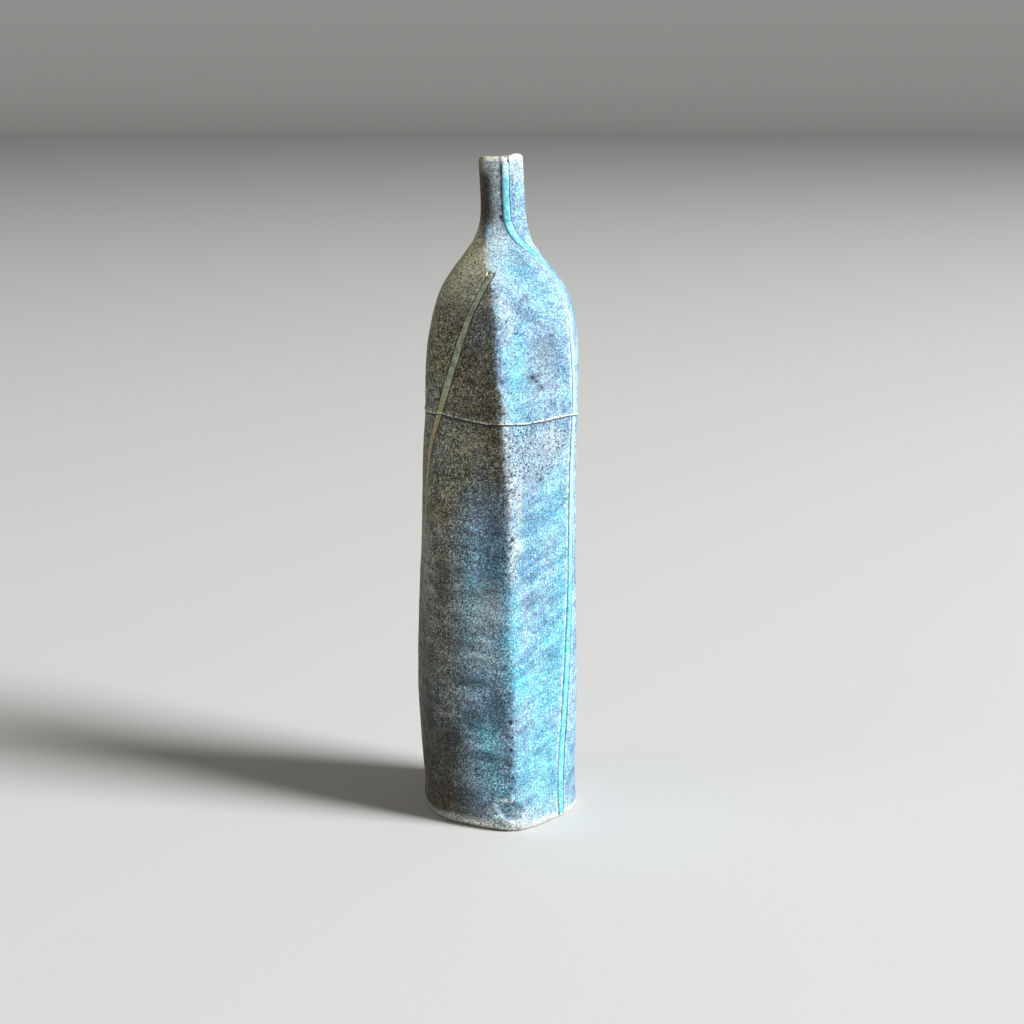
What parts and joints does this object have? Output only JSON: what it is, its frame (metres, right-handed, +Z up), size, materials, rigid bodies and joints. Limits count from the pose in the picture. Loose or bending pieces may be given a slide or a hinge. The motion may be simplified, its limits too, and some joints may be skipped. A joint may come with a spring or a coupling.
{
  "type": "ceramic bud vase",
  "caption": "Tall slab-built bottle vase with a rounded hexagonal body, crisp front arris, lapped waist joint, narrow neck for a flower stem and raised clay strips over its joints",
  "frame": {"origin": "centre of the flat underside of the floor slab, on the surface the vase stands on", "axes": "+Z up along the height to the mouth, -Y towards the crisp front arris, +X to the right of a viewer facing that arris, on the side of the long seam strip"},
  "size_m": [0.0616, 0.0654, 0.25],
  "materials": {
    "body_glaze": "dry matt blue-grey glaze with dark speckle",
    "bare_clay": "unglazed pale stoneware",
    "seam_strip_glaze": "satin turquoise glaze",
    "diagonal_strip_glaze": "satin olive to brown glaze"
  },
  "bodies": {
    "root": {"floor_slab": "bare_clay", "lower_wall": "body_glaze", "upper_wall": "body_glaze", "neck_wall": "body_glaze", "floor_coil": "bare_clay", "waist_coil": "bare_clay", "seam_strip_lower": "seam_strip_glaze", "seam_strip_upper": "seam_strip_glaze", "seam_strip_neck": "seam_strip_glaze", "diagonal_strip_lower": "diagonal_strip_glaze", "diagonal_strip_upper": "diagonal_strip_glaze"}
  },
  "joints": []
}
